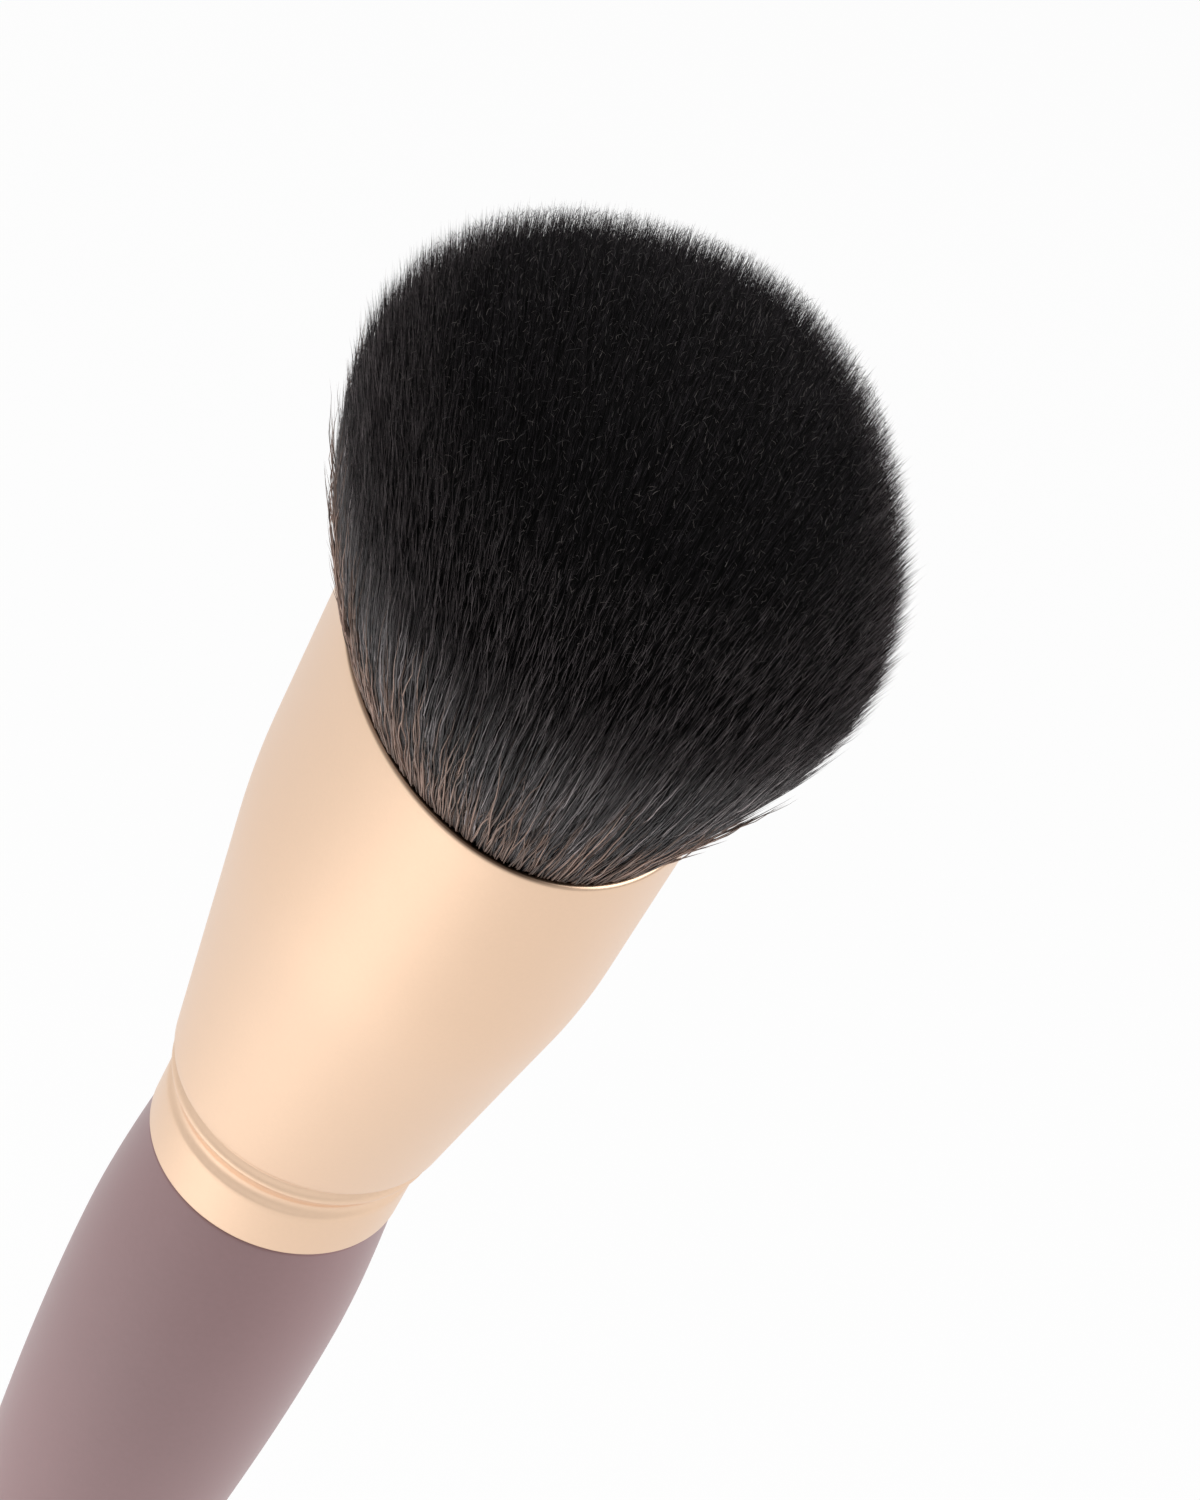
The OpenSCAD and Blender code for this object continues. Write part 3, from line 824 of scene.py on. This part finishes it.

# The sides.
# Along the sides the black fibres show at length and lean out over the rolled lip. Dark ones
# reach from the mouth up, and over them lie three layers of shorter ones whose light colour is a painted
# glint.
# Longer than the head is high, so that a fibre starts inside the mouth
whole_length = 30 * MM
over_lip = 0.27 * MM
even_sides = 0.14
# Flank gives the side fibres a painted sheen towards both flanks of the head
side_sizes = {
    "Stand_Out": over_lip, "Spread_Width": head_spread_w - over_lip, "Spread_Depth": head_spread_t - over_lip,
    "Even_Sides": even_sides, "Kept_In": 1.0, "Flank": (0.15, 0.33, 0.0), "Tip_Raise": 0.2 * MM,
    "Clump": 0.6 * MM, "Clump_Scale": 26.0,
}
# The light colour is a painted glint, brighter near the mouth as painted light from below, with painted shade
# in the tufts
black_sides = fibre_material(
    "black_fibre_sides", specular=0.5,
    Dark=(0.003, 0.0025, 0.003, 1), Light=(0.320, 0.278, 0.280, 1), Tip=(0.080, 0.070, 0.071, 1),
    Tip_Start=0.7, Tip_Amount=0.5, Tuft_Amount=0.8,
    Few=1.6, Faded=0.50, Fade_Height=13 * MM, Roughness_Low=0.35, Roughness_High=0.55,
)
grow(
    "black_sides_under", black_sides, "black_fibres", "black_fibre", **side_sizes,
    Count=8000, Seed=200, Segments=4, Inner_Share=0.91, Outer_Share=0.985,
    Length_Low=whole_length, Length_High=whole_length, Tip_Share_Low=0.8,
    Diameter=0.06 * MM, Taper_Share=0.3, Lean=0.04, Hook=0.12 * MM,
)
# Nearly white on black fibres, the light colour is a painted glint that fades with height, with painted shade
# in the tufts
glint_sides = fibre_material(
    "black_fibre_glints", specular=0.8,
    Dark=(0.004, 0.003, 0.004, 1), Light=(0.820, 0.718, 0.724, 1), Tip=(0.320, 0.281, 0.284, 1),
    Tip_Start=0.7, Tip_Amount=0.4, Tuft_Amount=0.9,
    Few=2.4, Faded=0.62, Fade_Height=14 * MM, Roughness_Low=0.30, Roughness_High=0.50,
)
for label, seed in (("first", 201), ("second", 202), ("third", 203)):
    grow(
        "black_strands_" + label, glint_sides, "black_fibres", "black_fibre", **side_sizes,
        Count=3800, Seed=seed, Segments=9, Inner_Share=0.975, Outer_Share=1.0,
        Length_Low=4 * MM, Length_High=8 * MM, Tip_Share_Low=0.32, Sink=0.35 * MM,
        Diameter=0.062 * MM, Taper_Share=0.5, Lean=0.09, Hook=0.20 * MM,
        Wave=0.04 * MM, Wave_Length=1.8 * MM,
    )

# The curled ends.
# A few fibres whose ends the trim has roughed into thin curls that lie every way on the crown; their light
# colour is a painted glint.
curl_glints = fibre_material(
    "curled_fibre_glints", specular=0.5,
    Dark=(0.020, 0.017, 0.017, 1), Light=(0.150, 0.132, 0.124, 1), Tip=(0.12, 0.10, 0.10, 1),
    Tip_Start=0.7, Tip_Amount=0.2,
    Few=3.0, Faded=1.0, Fade_Height=head_h, Roughness_Low=0.35, Roughness_High=0.50,
)
grow(
    "curled_ends", curl_glints, "black_fibres", "black_fibre",
    Count=5000, Seed=400, Segments=6, Inner_Share=0.0, Outer_Share=0.86,
    Length_Low=0.15 * MM, Length_High=0.4 * MM, Tip_Raise=0.25 * MM,
    Diameter=0.020 * MM, Taper_Share=0.4, Lean=0.9, Hook=0.16 * MM, Wave=0.08 * MM, Wave_Length=0.5 * MM,
)

# The crimped fibres.
# Shorter brown fibres with a wave in them, laid round the bundle at the mouth. They show as
# tan threads among the black ones on the lowest third of the head.
crimped_out = 0.38 * MM
crimped_in_step = 0.18 * MM
# The tan is the fibres' own colour; its fall-off with height is painted light from below
brown = fibre_material(
    "brown_fibre", specular=0.5,
    Dark=(0.060, 0.038, 0.030, 1), Light=(0.600, 0.405, 0.325, 1), Tip=(0.22, 0.15, 0.12, 1),
    Tip_Start=0.7, Tip_Amount=0.3,
    Few=1.0, Faded=0.6, Fade_Height=12 * MM, Roughness_Low=0.40, Roughness_High=0.55,
)
for label, seed, count, diameter, low, high in (
    ("fine", 300, 1000, 0.072 * MM, 0.20, 0.90),
    ("coarse", 301, 420, 0.105 * MM, 0.14, 0.75),
):
    grow(
        "brown_crimped_" + label, brown, "wavy_fibres", "brown_fibre",
        Count=count, Seed=seed, Segments=16, Inner_Share=0.985, Outer_Share=1.0,
        Length_Low=whole_length, Length_High=whole_length,
        Tip_Share_Low=low, Tip_Share_High=high, Tip_Raise=0.0,
        Stand_Out=crimped_out, Spread_Width=head_spread_w - crimped_in_step,
        Spread_Depth=head_spread_t - crimped_in_step, Even_Sides=even_sides, Kept_In=1.0,
        Diameter=diameter, Taper_Share=0.3, Lean=0.11, Hook=0.40 * MM, Slant=(0.09, 0.19, 0.0),
        Clump=1.0 * MM, Clump_Scale=16.0, Wave=0.11 * MM, Wave_Length=3.2 * MM,
    )

# The stage.
# A plain pale floor that hardly shows its own shade, a white world and three large soft lamps.
floor_half = 3.0
floor_grain_scale = 60.0
floor_tones = (0.93, 0.95)
floor_whiteness = 0.9
floor_in_gloss = 0.25
world_light = 0.37
floor_mesh = bpy.data.meshes.new("floor")
floor_corners = [(x * floor_half, y * floor_half, tail_z) for x, y in ((-1, -1), (1, -1), (1, 1), (-1, 1))]
floor_mesh.from_pydata(floor_corners, [], [(0, 1, 2, 3)])
floor = bpy.data.objects.new("floor", floor_mesh)
bpy.context.scene.collection.objects.link(floor)


def seen_directly(tree, in_gloss):
    """How much of a ray sees a thing straight on: all from the camera, and a share in a gloss."""
    ray = wire(tree, "ShaderNodeLightPath").outputs
    gloss = wire(tree, "ShaderNodeMath", ray["Is Glossy Ray"], in_gloss, operation="MULTIPLY").outputs[0]
    direct = wire(tree, "ShaderNodeMath", ray["Is Camera Ray"], gloss, operation="MAXIMUM").outputs[0]
    return wire(tree, "ShaderNodeMath", direct, ray["Is Transmission Ray"], operation="MAXIMUM").outputs[0]


paper, tree, shader, place = new_material("white_paper")
shader.inputs["Roughness"].default_value = 0.9
speck = wire(tree, "ShaderNodeTexNoise", place, None, floor_grain_scale).outputs[0]
tone = wire(tree, "ShaderNodeMapRange", speck, 0.0, 1.0, *floor_tones).outputs[0]
tree.links.new(tone, shader.inputs["Base Color"])
glow = wire(tree, "ShaderNodeEmission", (1, 1, 1, 1), 1.0)
direct = seen_directly(tree, floor_in_gloss)
amount = wire(tree, "ShaderNodeMath", direct, floor_whiteness, operation="MULTIPLY").outputs[0]
shown = wire(tree, "ShaderNodeMixShader", amount, shader.outputs[0], glow.outputs[0])
tree.links.new(shown.outputs[0], tree.nodes["Material Output"].inputs[0])
floor.data.materials.append(paper)

world = bpy.data.worlds.new("studio")
bpy.context.scene.world = world
world.use_nodes = True
tree = world.node_tree
sky = tree.nodes["Background"]
sky.inputs["Color"].default_value = (1, 1, 1, 1)
level = wire(tree, "ShaderNodeMapRange", seen_directly(tree, 1.0), 0.0, 1.0, world_light, 1.0).outputs[0]
tree.links.new(level, sky.inputs["Strength"])


def soft_lamp(name, spot, aim, size, power):
    """A square lamp at a spot, facing what it is aimed at."""
    lamp = bpy.data.objects.new(name, bpy.data.lights.new(name, "AREA"))
    lamp.data.size = size
    lamp.data.energy = power
    bpy.context.scene.collection.objects.link(lamp)
    lamp.matrix_world = Matrix.Translation(spot) @ (spot - aim).to_track_quat("Z", "Y").to_matrix().to_4x4()


mouth = Vector((0, 0, mouth_z))
upwards = Vector((0, 0, 1))
near = Vector((-to_front.x, -to_front.y, 0)).normalized()
aside = near.cross(upwards)
key_spot = mouth - to_right * 0.25 - to_bottom * 0.45 - to_front * 0.35
fill_spot = mouth + to_right * 0.6 - to_front * 0.2 - to_bottom * 0.1
lit_floor = near * 0.10 + aside * 0.08 + upwards * tail_z
soft_lamp("key", key_spot, mouth, size=0.45, power=1.55)
soft_lamp("fill", fill_spot, mouth, size=0.5, power=2.6)
soft_lamp("floor_glow", lit_floor + upwards * 0.10, lit_floor, size=0.12, power=0.108)
bpy.context.scene.view_settings.view_transform = "Standard"
